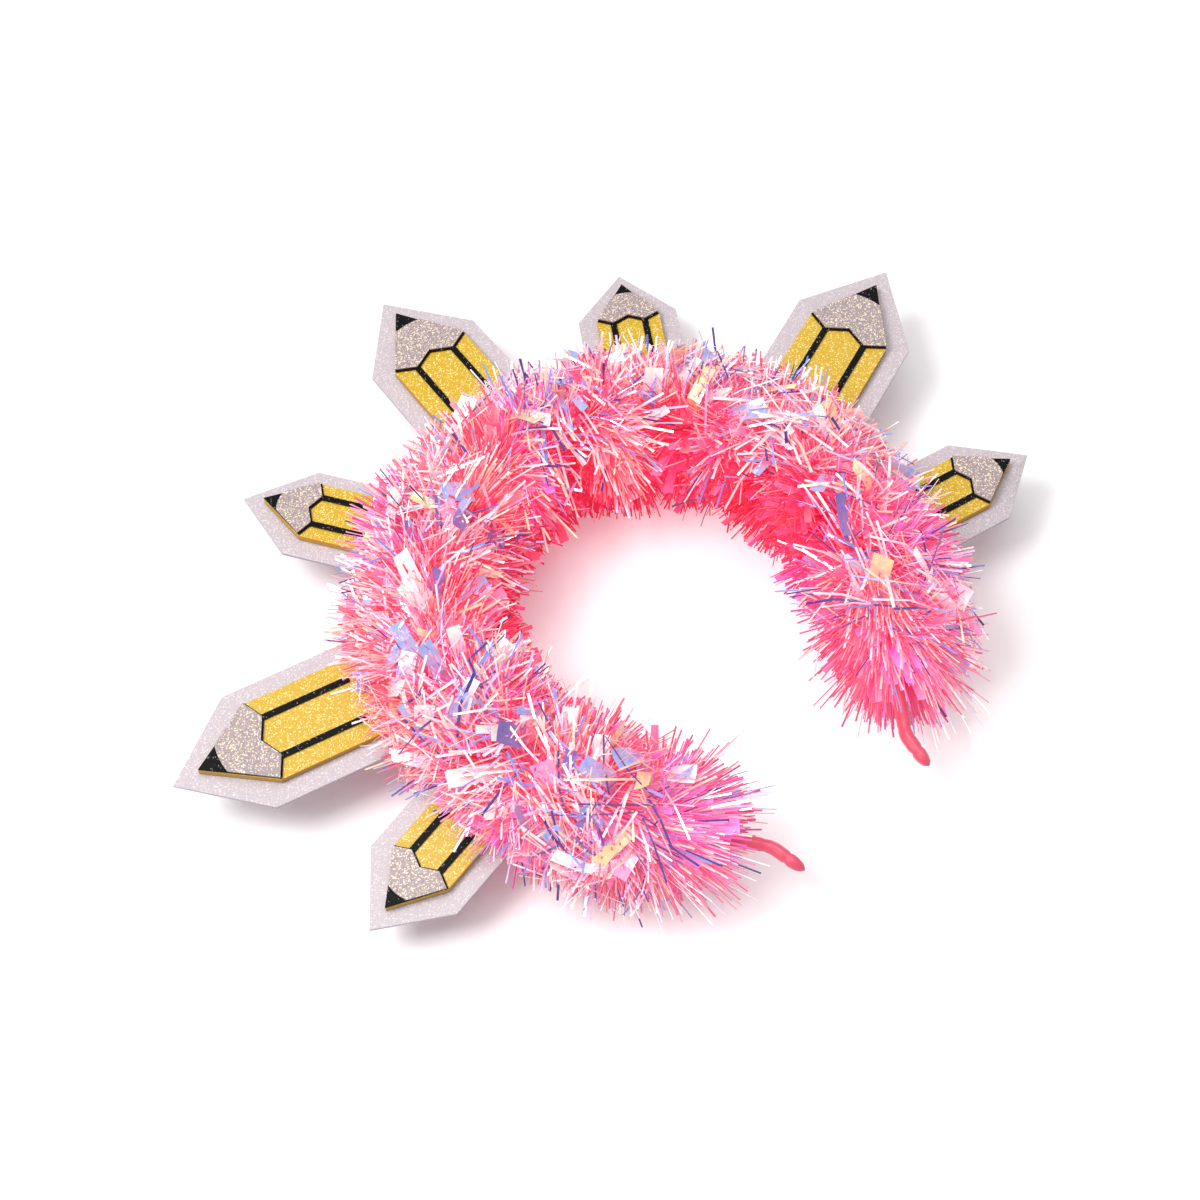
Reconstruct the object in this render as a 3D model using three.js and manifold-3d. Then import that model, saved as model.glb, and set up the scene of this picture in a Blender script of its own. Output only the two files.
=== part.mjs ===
// Pencil headband: a bendable band wound in ribbon, worn inside a garland of pink tinsel,
// with seven flat pencils of glitter foam and glitter sheet fanned round the outside.
// It lies on its side, as it does on a table. +Y points to the crown, +Z is up, units are millimetres.

import * as THREE from 'three';
import { mergeVertices } from 'three/addons/utils/BufferGeometryUtils.js';
import Module from 'manifold-3d';

const wasm = await Module();
wasm.setup();

// Driving dimensions of the band, in millimetres and degrees
const BAND_HEIGHT = 23;
const CORE_RADIUS = 2.15;
const CORE_SIDES = 8;
const CORE_STEPS = 50;
const CORE_TIP_LENGTH = 5;

// The ribbon pinched over each end of the core: how far out and how far on each step of it lies,
// as shares of the core's radius and of the tip's length
const TIP_STEPS = [
  { out: 0.9, on: 0.3 },
  { out: 0.6, on: 0.8 },
];
const TIP_LAP = 1;

// One half of the band from the middle of the crown to its end: a stretch with a radius turns,
// towards the wearer where the turn is positive, and one without runs straight.
const CROWN_RADIUS = 61.6;
const HALF_BAND = [
  { stretch: 'crown', radius: CROWN_RADIUS, turn: 98 },
  { stretch: 'arm', radius: 88.5, turn: 29 },
  { stretch: 'straight', length: 29.5 },
  { stretch: 'bend', radius: 8, turn: -27 },
  { stretch: 'end', length: 4 },
];

// Driving dimensions of the tinsel
const TINSEL_HALF_LENGTH = 150;
const TINSEL_RADIUS = 24.6;
const TINSEL_HEAD_RADIUS = 16;
const HEAD_SIDES = 8;
const HEAD_STEPS = 28;
const HEAD_END_RINGS = 8;
const LOCK_ROOT = 10;
const LOCK_WIDTH = 8.4;
const LOCK_END_WIDTH = 5.6;
const LOCK_THICKNESS = 2.6;
const LOCK_SPREAD = 2.2;
const LOCK_LEAN = 26;
const LOCK_ROW_SPACING = 13;
const LOCKS_ROUND = 9;
const END_FANS = [
  { away: 62, locks: 9 },
  { away: 32, locks: 6 },
];

// How far each row of locks is turned on from the last, and how unevenly locks stand round the band,
// as shares of the angle between two locks
const ROW_TURN = 0.38;
const LOCK_UNEVEN = 0.25;
const FAN_UNEVEN = 0.3;

// Points along a lock that are tried against the pencils
const LOCK_TRIES = 8;

// The room under the floor, which cuts the locks level
const FLOOR_SIZE = 400;
const FLOOR_DEPTH = 20;

// Gaps that keep neighbouring pieces apart
const GLUE_GAP = 0.25;
const POCKET_GAP = 0.3;
const TAIL_GAP = 0.6;

// Sheet thicknesses in a pencil, from the back to the front
const BACKING_THICKNESS = 1;
const BLOCK_THICKNESS = 2.1;
const BLACK_THICKNESS = 0.35;
const WOOD_THICKNESS = 0.45;

// A pencil's outline, as shares of its width
const CONE_SHARE = 0.743;
const BODY_SHARE = 1.36;
const PRONG_SHARE = 1.14;
const PEAK_PLACE_SHARE = 0.252;
const PEAK_DEPTH_SHARE = 0.127;
const LEAD_HALF_WIDTH_SHARE = 0.182;
const LEAD_LENGTH_SHARE = 0.27;
const BACKING_SHOULDER_SHARE = 0.165;

const PRONG_WIDTH = 1.9;
const SEAM = 0.55;
const WOOD_INSET = 0.2;
const LEAD_BULGE = 0.5;
const TAIL_WIDTH = 10;
const TAIL_PAST_CORE = 4;
const BACKING_LAP = 3;
const CURVE_STEPS = 6;

const SIZES = {
  large: { width: 25.4, margin: 5.85, tip_margin: 7.6 },
  small: { width: 19.3, margin: 5.55, tip_margin: 6.6 },
};

// Where each pencil stands: along is the distance of its foot from the middle of the crown,
// lean turns it from the band's outward normal, reach runs from its foot to its shoulders,
// tilt lifts its tip and roll turns it about its own length.
const PENCILS = [
  { size: 'small', along: -107, lean: 0.8, reach: 38.2, tilt: -4.6, roll: 2.2 },
  { size: 'large', along: -69, lean: 12.9, reach: 54.5, tilt: 1, roll: 2.3 },
  { size: 'small', along: -30.6, lean: 4.2, reach: 43.5, tilt: -1.7, roll: -4.2 },
  { size: 'large', along: 4.9, lean: -0.5, reach: 51.3, tilt: -3, roll: -0.1 },
  { size: 'small', along: 44, lean: 7.8, reach: 46, tilt: -8.1, roll: 2.5 },
  { size: 'large', along: 81, lean: 4.9, reach: 50.9, tilt: 3.2, roll: -2.4 },
  { size: 'small', along: 118.4, lean: 6.2, reach: 40.4, tilt: -0.1, roll: 2.5 },
];

const COLOURS = {
  ribbon: { color: 0xf2546f, roughness: 0.45, metalness: 0 },
  tinsel: { color: 0xf9658c, roughness: 0.3, metalness: 0.1 },
  backing: { color: 0xe9e2ea, roughness: 0.5, metalness: 0.1 },
  black: { color: 0x24211f, roughness: 0.5, metalness: 0.1 },
  yellow: { color: 0xf8d21c, roughness: 0.5, metalness: 0.1 },
  wood: { color: 0xdccdc4, roughness: 0.4, metalness: 0.2 },
};

const radians = THREE.MathUtils.degToRad;
const material = (finish) => new THREE.MeshStandardMaterial(COLOURS[finish]);

// A repeatable number between -1 and 1 for the n-th lock, from the last digits of a fast sine wave:
// each of a lock's uneven properties reads its own shift of the wave
const WAVE = { step: 12.9898, shift: 78.233, height: 43758.5453 };
const UNEVEN = { round: 1, lean: 2, length: 3, face: 4 };

function scatter(n, property) {
  const wave = Math.sin(n * WAVE.step + property * WAVE.shift) * WAVE.height;
  return 2 * (wave - Math.floor(wave)) - 1;
}

// The band line

function stretchLength({ radius, turn, length }) {
  return radius ? radius * Math.abs(radians(turn)) : length;
}

const HALF_BAND_LENGTH = HALF_BAND.reduce((sum, stretch) => sum + stretchLength(stretch), 0);

// Place and heading on the right half of the band, a distance from the middle of the crown
function halfBandAt(distance) {
  let left = distance;
  let x = 0;
  let y = CROWN_RADIUS;
  let heading = 0;
  for (const stretch of HALF_BAND) {
    const run = Math.min(left, stretchLength(stretch));
    const turned = stretch.radius ? Math.sign(stretch.turn) * (run / stretch.radius) : 0;
    const chord = stretch.radius ? 2 * stretch.radius * Math.sin(Math.abs(turned) / 2) : run;
    x += chord * Math.cos(heading - turned / 2);
    y += chord * Math.sin(heading - turned / 2);
    heading -= turned;
    left -= run;
  }
  return { x, y, heading };
}

// The left half mirrors the right one
function bandAt(along) {
  const { x, y, heading } = halfBandAt(Math.abs(along));
  return along < 0 ? { x: -x, y, heading: -heading } : { x, y, heading };
}

function bandPoint(along) {
  const { x, y } = bandAt(along);
  return new THREE.Vector3(x, y, BAND_HEIGHT);
}

class BandLine extends THREE.Curve {
  constructor(halfLength) {
    super();
    this.halfLength = halfLength;
  }

  getPoint(t, target = new THREE.Vector3()) {
    return target.copy(bandPoint((2 * t - 1) * this.halfLength));
  }
}

// Joining and cutting solids

function toManifold(geometry) {
  const bare = geometry.clone();
  bare.deleteAttribute('normal');
  bare.deleteAttribute('uv');
  const merged = mergeVertices(bare);
  return new wasm.Manifold(new wasm.Mesh({
    numProp: 3,
    vertProperties: merged.attributes.position.array,
    triVerts: new Uint32Array(merged.index.array),
  }));
}

function toGeometry(solid) {
  const { vertProperties, triVerts } = solid.getMesh();
  const geometry = new THREE.BufferGeometry();
  geometry.setAttribute('position', new THREE.BufferAttribute(vertProperties, 3));
  geometry.setIndex(new THREE.BufferAttribute(triVerts, 1));
  geometry.computeVertexNormals();
  return geometry;
}

function join(geometries) {
  return geometries.map(toManifold).reduce((sum, solid) => sum.add(solid));
}

// Round section of a tube along the band
function roundSection(radius, sides) {
  const corners = Array.from({ length: sides }, (_, i) => {
    const angle = (2 * Math.PI * (i + 0.5)) / sides;
    return new THREE.Vector2(radius * Math.cos(angle), radius * Math.sin(angle));
  });
  return new THREE.Shape(corners);
}

function bandTube(radius, sides, steps, halfLength) {
  return new THREE.ExtrudeGeometry(roundSection(radius, sides), {
    steps,
    extrudePath: new BandLine(halfLength),
    bevelEnabled: false,
  });
}

// The ribbon-wound core, with its ribbon pinched to a blunt point at each end
function coreTip(side) {
  const profile = [
    new THREE.Vector2(0, -TIP_LAP),
    new THREE.Vector2(TIP_STEPS[0].out * CORE_RADIUS, -TIP_LAP),
    ...TIP_STEPS.map(({ out, on }) => new THREE.Vector2(out * CORE_RADIUS, on * CORE_TIP_LENGTH)),
    new THREE.Vector2(0, CORE_TIP_LENGTH),
  ];
  const end = bandAt(side * HALF_BAND_LENGTH);
  const outward = end.heading + (side < 0 ? Math.PI : 0);
  return new THREE.LatheGeometry(profile, CORE_SIDES)
    .rotateZ(outward - Math.PI / 2)
    .translate(end.x, end.y, BAND_HEIGHT);
}

function bandCore() {
  const tube = bandTube(CORE_RADIUS, CORE_SIDES, CORE_STEPS, HALF_BAND_LENGTH);
  const mesh = new THREE.Mesh(toGeometry(join([tube, coreTip(-1), coreTip(1)])), material('ribbon'));
  mesh.name = 'band_core';
  return mesh;
}

// A pencil's outlines: the shoulders are on y = 0 and the tip points to +Y

function shapeOf(points) {
  return new THREE.Shape(points.map(([x, y]) => new THREE.Vector2(x, y)));
}

// Both sides of an outline from its right-hand points, listed from the lower end to the tip
function mirrored(right) {
  const left = right.filter(([x]) => x > 0).map(([x, y]) => [-x, y]).reverse();
  return [...right, ...left];
}

function pencilOutline({ width }, grow = 0) {
  return mirrored([
    [width / 2 + grow, -BODY_SHARE * width - grow],
    [width / 2 + grow, 0],
    [0, CONE_SHARE * width + 2 * grow],
  ]);
}

function backingOutline({ width, margin, tip_margin: tipMargin }, reach, grow = 0) {
  const half = width / 2 + margin + grow;
  const lowerEnd = -BODY_SHARE * width - BACKING_LAP - grow;
  const tailHalf = TAIL_WIDTH / 2 + grow;
  return mirrored([
    [tailHalf, -reach - TAIL_PAST_CORE - grow],
    [tailHalf, Math.max(lowerEnd - BACKING_LAP, -reach)],
    [half - BACKING_LAP, lowerEnd],
    [half, lowerEnd + BACKING_LAP],
    [half, BACKING_SHOULDER_SHARE * width],
    [0, CONE_SHARE * width + tipMargin + 2 * grow],
  ]);
}

// Height of the zigzag where the wood ends over the yellow block, at a distance from the middle
function zigzag(width, x) {
  const peak = PEAK_PLACE_SHARE * width;
  const run = x < peak ? x / peak : (width / 2 - x) / (width / 2 - peak);
  return -PEAK_DEPTH_SHARE * width * run;
}

// The black sheet is a cone that shows as the lead and round the wood, with two prongs down the body
function blackOutline({ width }) {
  const prongInside = PEAK_PLACE_SHARE * width - PRONG_WIDTH / 2;
  const prongOutside = prongInside + PRONG_WIDTH;
  const edge = (x) => zigzag(width, x) - SEAM / 2;
  return mirrored([
    [0, edge(0)],
    [prongInside, edge(prongInside)],
    [prongInside, -PRONG_SHARE * width],
    [prongOutside, -PRONG_SHARE * width],
    [prongOutside, edge(prongOutside)],
    [width / 2, edge(width / 2)],
    [0, CONE_SHARE * width],
  ]);
}

// The wood ends in a bulge under the lead
function woodOutline({ width }) {
  const side = width / 2 - WOOD_INSET;
  const peak = PEAK_PLACE_SHARE * width;
  const leadHalf = LEAD_HALF_WIDTH_SHARE * width - WOOD_INSET;
  const leadFoot = (CONE_SHARE - LEAD_LENGTH_SHARE) * width;
  const bulge = Array.from({ length: CURVE_STEPS }, (_, i) => {
    const x = leadHalf * (1 - (i + 1) / CURVE_STEPS);
    return [x, leadFoot + LEAD_BULGE * (1 - (x / leadHalf) ** 2)];
  });
  const edge = (x) => zigzag(width, x) + SEAM / 2;
  const lower = [[0, edge(0)], [peak, edge(peak)], [side, edge(side)]];
  return mirrored([...lower, [leadHalf, leadFoot], ...bulge]);
}

function sheet(outline, thickness) {
  return new THREE.ExtrudeGeometry(shapeOf(outline), { depth: thickness, bevelEnabled: false });
}

// The layers of a pencil, with the height of each one's underside above the back of the pencil
function pencilLayers(size, reach) {
  const blockFoot = BACKING_THICKNESS + GLUE_GAP;
  const blackFoot = blockFoot + BLOCK_THICKNESS + GLUE_GAP;
  const woodFoot = blackFoot + BLACK_THICKNESS + GLUE_GAP;
  return [
    { layer: 'backing', outline: backingOutline(size, reach), foot: 0, thickness: BACKING_THICKNESS },
    { layer: 'yellow', outline: pencilOutline(size), foot: blockFoot, thickness: BLOCK_THICKNESS },
    { layer: 'black', outline: blackOutline(size), foot: blackFoot, thickness: BLACK_THICKNESS },
    { layer: 'wood', outline: woodOutline(size), foot: woodFoot, thickness: WOOD_THICKNESS },
  ];
}

const GLUE_LINES = 3;
const STACK_HEIGHT = BACKING_THICKNESS + BLOCK_THICKNESS + BLACK_THICKNESS + WOOD_THICKNESS
  + GLUE_LINES * GLUE_GAP;
const BACK_HEIGHT = BAND_HEIGHT - CORE_RADIUS - TAIL_GAP - BACKING_THICKNESS;

// A pencil's group stands on its foot, under the core, with its back at z = 0
function pencilGroup(row) {
  const { x, y, heading } = bandAt(row.along);
  const group = new THREE.Group();
  group.rotation.order = 'ZXY';
  group.rotation.set(radians(row.tilt), -radians(row.roll), heading + radians(row.lean));
  group.position.set(x, y, BACK_HEIGHT);
  return group;
}

function pencil(row, number) {
  const group = pencilGroup(row);
  for (const { layer, outline, foot, thickness } of pencilLayers(SIZES[row.size], row.reach)) {
    const mesh = new THREE.Mesh(sheet(outline, thickness), material(layer));
    mesh.name = `pencil_${number}_${layer}`;
    mesh.position.set(0, row.reach, foot);
    group.add(mesh);
  }
  return group;
}

// Room for a pencil in the tinsel: its stack and its backing, grown by the gap round them
function pencilPocket(row) {
  const size = SIZES[row.size];
  const group = pencilGroup(row);
  group.updateMatrix();
  const back = sheet(backingOutline(size, row.reach, POCKET_GAP), BACKING_THICKNESS + 2 * POCKET_GAP);
  const stack = sheet(pencilOutline(size, POCKET_GAP), STACK_HEIGHT + POCKET_GAP - BACKING_THICKNESS);
  back.translate(0, row.reach, -POCKET_GAP);
  stack.translate(0, row.reach, BACKING_THICKNESS);
  return join([back, stack].map((piece) => piece.applyMatrix4(group.matrix)));
}

// The tinsel's locks

// One lock: a flat tapered strip from the head outwards along +Y
function lockStrip(length) {
  return sheet(mirrored([
    [LOCK_WIDTH / 2, 0],
    [LOCK_END_WIDTH / 2, length],
  ]), LOCK_THICKNESS).translate(0, LOCK_ROOT, -LOCK_THICKNESS / 2);
}

// Direction of a lock from its place on the band: round turns it about the band and away lifts it
// from the band's own direction, so 90 stands straight out.
function lockDirection(along, round, away) {
  const { heading } = bandAt(along);
  const forward = new THREE.Vector3(Math.cos(heading), Math.sin(heading), 0);
  const outward = new THREE.Vector3(-Math.sin(heading), Math.cos(heading), 0);
  const across = outward.multiplyScalar(Math.cos(round)).setZ(Math.sin(round));
  return forward.multiplyScalar(Math.cos(away)).addScaledVector(across, Math.sin(away));
}

// A lock may not pass through a pencil: true where a point of its length is in a pencil's room
function meetsPencil(root, direction, length, rooms) {
  for (let i = 1; i <= LOCK_TRIES; i += 1) {
    const point = root.clone().addScaledVector(direction, LOCK_ROOT + (length * i) / LOCK_TRIES);
    for (const { inverse, half, lower } of rooms) {
      const local = point.clone().applyMatrix4(inverse);
      const beside = Math.abs(local.x) < half + LOCK_WIDTH / 2 && local.y > lower;
      if (beside && local.z > -LOCK_WIDTH / 2 && local.z < STACK_HEIGHT + LOCK_WIDTH / 2) {
        return true;
      }
    }
  }
  return false;
}

function pencilRooms() {
  return PENCILS.map((row) => {
    const group = pencilGroup(row);
    const { width, margin } = SIZES[row.size];
    group.updateMatrix();
    return {
      inverse: group.matrix.clone().invert(),
      half: width / 2 + margin,
      lower: row.reach - BODY_SHARE * width - 2 * BACKING_LAP,
    };
  });
}

function placedLock({ along, round, away, n }) {
  const root = bandPoint(along);
  const direction = lockDirection(along, round, away);
  const length = TINSEL_RADIUS + LOCK_SPREAD * scatter(n, UNEVEN.length) - LOCK_ROOT;
  const lengthwise = new THREE.Vector3(0, 1, 0);
  const face = Math.PI * scatter(n, UNEVEN.face);
  const turn = new THREE.Quaternion().setFromUnitVectors(lengthwise, direction);
  turn.multiply(new THREE.Quaternion().setFromAxisAngle(lengthwise, face));
  return { root, direction, length, turn };
}

// Rows of locks wind along the garland, and two fans close each end
function lockPlaces() {
  const places = [];
  const rows = Math.round((2 * TINSEL_HALF_LENGTH) / LOCK_ROW_SPACING);
  for (let row = 0; row <= rows; row += 1) {
    for (let k = 0; k < LOCKS_ROUND; k += 1) {
      const n = places.length;
      places.push({
        n,
        along: TINSEL_HALF_LENGTH * ((2 * row) / rows - 1),
        round: (2 * Math.PI * (k + ROW_TURN * row + LOCK_UNEVEN * scatter(n, UNEVEN.round))) / LOCKS_ROUND,
        away: radians(90 + LOCK_LEAN * scatter(n, UNEVEN.lean)),
      });
    }
  }
  for (const side of [-1, 1]) {
    for (const { away, locks } of END_FANS) {
      for (let k = 0; k < locks; k += 1) {
        const n = places.length;
        places.push({
          n,
          along: side * TINSEL_HALF_LENGTH,
          round: (2 * Math.PI * (k + FAN_UNEVEN * scatter(n, UNEVEN.round))) / locks,
          away: radians(side > 0 ? away : 180 - away),
        });
      }
    }
  }
  return places;
}

function tinselLocks() {
  const rooms = pencilRooms();
  return lockPlaces()
    .map(placedLock)
    .filter(({ root, direction, length }) => !meetsPencil(root, direction, length, rooms))
    .map(({ root, length, turn }) => lockStrip(length).applyQuaternion(turn).translate(...root));
}

// The head is a fat tube with round ends; the floor flattens the locks it rests on
function tinsel() {
  const head = bandTube(TINSEL_HEAD_RADIUS, HEAD_SIDES, HEAD_STEPS, TINSEL_HALF_LENGTH);
  const ends = [-1, 1].map((side) => {
    const { x, y, z } = bandPoint(side * TINSEL_HALF_LENGTH);
    return new THREE.SphereGeometry(TINSEL_HEAD_RADIUS, HEAD_SIDES, HEAD_END_RINGS).translate(x, y, z);
  });
  const floor = new THREE.BoxGeometry(FLOOR_SIZE, FLOOR_SIZE, FLOOR_DEPTH).translate(0, 0, -FLOOR_DEPTH / 2);
  const bore = bandTube(CORE_RADIUS + POCKET_GAP, CORE_SIDES, CORE_STEPS, HALF_BAND_LENGTH);
  let solid = join([head, ...ends, ...tinselLocks()]);
  for (const room of [toManifold(floor), toManifold(bore), ...PENCILS.map(pencilPocket)]) {
    solid = solid.subtract(room);
  }
  const mesh = new THREE.Mesh(toGeometry(solid), material('tinsel'));
  mesh.name = 'tinsel';
  return mesh;
}

// The whole headband, with its origin under the middle of its box
const headband = new THREE.Group();
headband.add(bandCore(), tinsel());
PENCILS.forEach((row, i) => headband.add(pencil(row, i + 1)));

const box = new THREE.Box3().setFromObject(headband, true);
const middle = box.getCenter(new THREE.Vector3());
headband.position.set(-middle.x, -middle.y, -box.min.z);

export default headband;
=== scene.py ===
"""Looks of the pencil headband: glitter pencils, a tinsel garland and a ribbon-wound band on a pale floor."""
import logging
import math
from dataclasses import dataclass, field
from enum import Enum

import bmesh
import bpy
import numpy as np
from bpy.types import Material, Mesh, Node, NodeSocket, NodeTree, Object
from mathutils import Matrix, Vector
from mathutils.bvhtree import BVHTree
from numpy import ndarray as Array


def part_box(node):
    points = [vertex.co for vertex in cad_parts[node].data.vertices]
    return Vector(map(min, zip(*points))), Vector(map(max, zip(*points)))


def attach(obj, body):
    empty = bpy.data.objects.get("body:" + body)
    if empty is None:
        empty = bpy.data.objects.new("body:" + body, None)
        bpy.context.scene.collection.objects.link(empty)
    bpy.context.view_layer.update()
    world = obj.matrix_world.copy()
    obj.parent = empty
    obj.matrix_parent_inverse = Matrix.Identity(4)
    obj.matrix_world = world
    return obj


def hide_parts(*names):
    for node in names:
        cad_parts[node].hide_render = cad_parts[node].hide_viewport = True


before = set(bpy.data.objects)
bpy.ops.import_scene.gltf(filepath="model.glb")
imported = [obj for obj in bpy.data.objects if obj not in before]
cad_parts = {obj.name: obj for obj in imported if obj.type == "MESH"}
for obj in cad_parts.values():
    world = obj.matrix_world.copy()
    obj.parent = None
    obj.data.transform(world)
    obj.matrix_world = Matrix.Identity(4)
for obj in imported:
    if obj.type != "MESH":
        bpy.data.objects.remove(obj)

MM = 0.001
BODY = "root"
LOG = logging.getLogger("pencil_headband")
UP = np.array([0.0, 0.0, 1.0])
NO_LENGTH = 1e-9
HALF_WAY = 0.5

# The attribute that holds each strip's tint in its mesh, where the film's materials read it
TINT_ATTRIBUTE = "film_tint"

# The Mix node's two colours are inputs with these numbers, and its mixed colour is this output
MIX_FIRST = 6
MIX_SECOND = 7
MIX_RESULT = 2

# The view: the camera looks down on the lying headband from the side of its left arm
VIEW_AZIMUTH = math.radians(-41.1)
VIEW_ELEVATION = math.radians(60.0)
VIEW_DISTANCE = 662.5 * MM
VIEW_LENS = 67.6
SENSOR_WIDTH = 36.0
VIEW_AIM_FROM_RING_CENTRE = (-1.1 * MM, 22.2 * MM)


def linear(hex_colour: str) -> tuple[float, float, float, float]:
    """Turns an sRGB hex value to a linear colour.

    Args:
        hex_colour: six hex digits, such as "F8D21C".

    Returns:
        Linear red, green, blue and an alpha of 1.
    """
    shares = [int(hex_colour[i : i + 2], 16) / 255 for i in (0, 2, 4)]
    red, green, blue = [s / 12.92 if s <= 0.04045 else ((s + 0.055) / 1.055) ** 2.4 for s in shares]
    return red, green, blue, 1.0


def unit(vectors: Array) -> Array:
    """Scales vectors to length 1."""
    return vectors / np.maximum(np.linalg.norm(vectors, axis=-1, keepdims=True), NO_LENGTH)


def bent(run: Array | float, knee: Array, tip: Array) -> Array:
    """Finds places on a bent strand, measured from its root, at shares of the way to its tip."""
    return 2 * run * (1 - run) * knee + run**2 * tip


def add_node(
    tree: NodeTree,
    kind: str,
    settings: dict[str | int, object] | None = None,
    links: dict[str | int, NodeSocket] | None = None,
) -> Node:
    """Adds a shader node with its settings and links.

    Args:
        tree: the node tree that gets the node.
        kind: the node's Blender type.
        settings: values by attribute name, or else by input name or number.
        links: output sockets by the input name or number that they feed.

    Returns:
        The new node.
    """
    node = tree.nodes.new(kind)
    for name, value in (settings or {}).items():
        if isinstance(name, str) and hasattr(node, name):
            setattr(node, name, value)
        else:
            node.inputs[name].default_value = value
    for name, socket in (links or {}).items():
        tree.links.new(socket, node.inputs[name])
    return node


def new_material(name: str) -> tuple[Material, NodeTree, Node]:
    """Makes an empty node material with its output.

    Args:
        name: the material's name.

    Returns:
        The material, its node tree and its output node.
    """
    material = bpy.data.materials.new(name)
    material.use_nodes = True
    tree = material.node_tree
    tree.nodes.clear()
    return material, tree, add_node(tree, "ShaderNodeOutputMaterial")


@dataclass(frozen=True)
class GlitterSheet:
    """Foam or card strewn with cut film flakes: each flake is a small tilted mirror, so the face sparkles,
    and the bright flakes' colour is partly painted glint.

    The flakes lie on the face alone, so the knife-cut edge is plain and matt, and its darker colour is partly
    painted shade of sides turned from the lamps. They are drawn a little coarser than real ones, so that they
    show in the render.
    """

    name: str
    ground: str
    dark: str
    bright: str
    # The cut edge's colour is darker than the face, partly painted shade
    edge: str
    flake: float
    dark_share: float
    bright_share: float
    rainbow: float
    tilt: float
    roughness: float
    specular: float = 0.5
    level_from: float = 0.6

    def flake_colour(self, tree: NodeTree, flakes: Node) -> NodeSocket:
        """Gives each flake the dark, middle or bright colour, with a trace of rainbow.

        Args:
            tree: the material's node tree.
            flakes: the node that splits the face into flakes.

        Returns:
            The flakes' colour.
        """
        parts = add_node(tree, "ShaderNodeSeparateColor", {}, {"Color": flakes.outputs["Color"]})
        ramp = add_node(tree, "ShaderNodeValToRGB", {}, {"Fac": parts.outputs["Red"]})
        ramp.color_ramp.interpolation = "CONSTANT"
        stops = ramp.color_ramp.elements
        stops[0].position, stops[0].color = 0.0, linear(self.dark)
        stops[1].position, stops[1].color = self.dark_share, linear(self.ground)
        # The bright flakes are partly painted glints
        last = stops.new(1 - self.bright_share)
        last.color = linear(self.bright)
        return add_node(
            tree, "ShaderNodeMix",
            {"data_type": "RGBA", "blend_type": "SOFT_LIGHT", "Factor": self.rainbow},
            {MIX_FIRST: ramp.outputs["Color"], MIX_SECOND: flakes.outputs["Color"]},
        ).outputs[MIX_RESULT]

    def flake_facing(self, tree: NodeTree, shape: Node, flakes: Node) -> NodeSocket:
        """Tilts each flake its own way.

        Args:
            tree: the material's node tree.
            shape: the node that gives the surface's direction.
            flakes: the node that splits the face into flakes.

        Returns:
            The direction that each flake faces.
        """
        lean = add_node(
            tree, "ShaderNodeVectorMath",
            {"operation": "MULTIPLY_ADD", 1: (self.tilt,) * 3, 2: (-self.tilt / 2,) * 3},
            {0: flakes.outputs["Color"]},
        )
        facing = add_node(
            tree, "ShaderNodeVectorMath", {"operation": "ADD"},
            {0: shape.outputs["Normal"], 1: lean.outputs["Vector"]},
        )
        return add_node(
            tree, "ShaderNodeVectorMath", {"operation": "NORMALIZE"},
            {0: facing.outputs["Vector"]},
        ).outputs["Vector"]

    def material(self) -> Material:
        """Makes the sheet's material, with one colour and one tilt to each flake.

        Returns:
            The material.
        """
        material, tree, output = new_material(self.name)
        place = add_node(tree, "ShaderNodeTexCoord")
        shape = add_node(tree, "ShaderNodeNewGeometry")
        flakes = add_node(
            tree, "ShaderNodeTexVoronoi", {"Scale": 1 / self.flake, "Randomness": 1.0},
            {"Vector": place.outputs["Object"]},
        )
        facing = add_node(tree, "ShaderNodeSeparateXYZ", {}, {"Vector": shape.outputs["True Normal"]})
        level = add_node(tree, "ShaderNodeMath", {"operation": "ABSOLUTE"}, {0: facing.outputs["Z"]})
        on_face = add_node(
            tree, "ShaderNodeMath", {"operation": "GREATER_THAN", 1: self.level_from},
            {0: level.outputs["Value"]},
        )
        # Faces take the flakes' colours and sides the darker edge colour, partly painted shade
        colour = add_node(
            tree, "ShaderNodeMix", {"data_type": "RGBA", MIX_FIRST: linear(self.edge)},
            {"Factor": on_face.outputs["Value"], MIX_SECOND: self.flake_colour(tree, flakes)},
        )
        shader = add_node(
            tree, "ShaderNodeBsdfPrincipled",
            {"Roughness": self.roughness, "Specular IOR Level": self.specular},
            {"Base Color": colour.outputs[MIX_RESULT], "Normal": self.flake_facing(tree, shape, flakes)},
        )
        tree.links.new(shader.outputs["BSDF"], output.inputs["Surface"])
        return material


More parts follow.
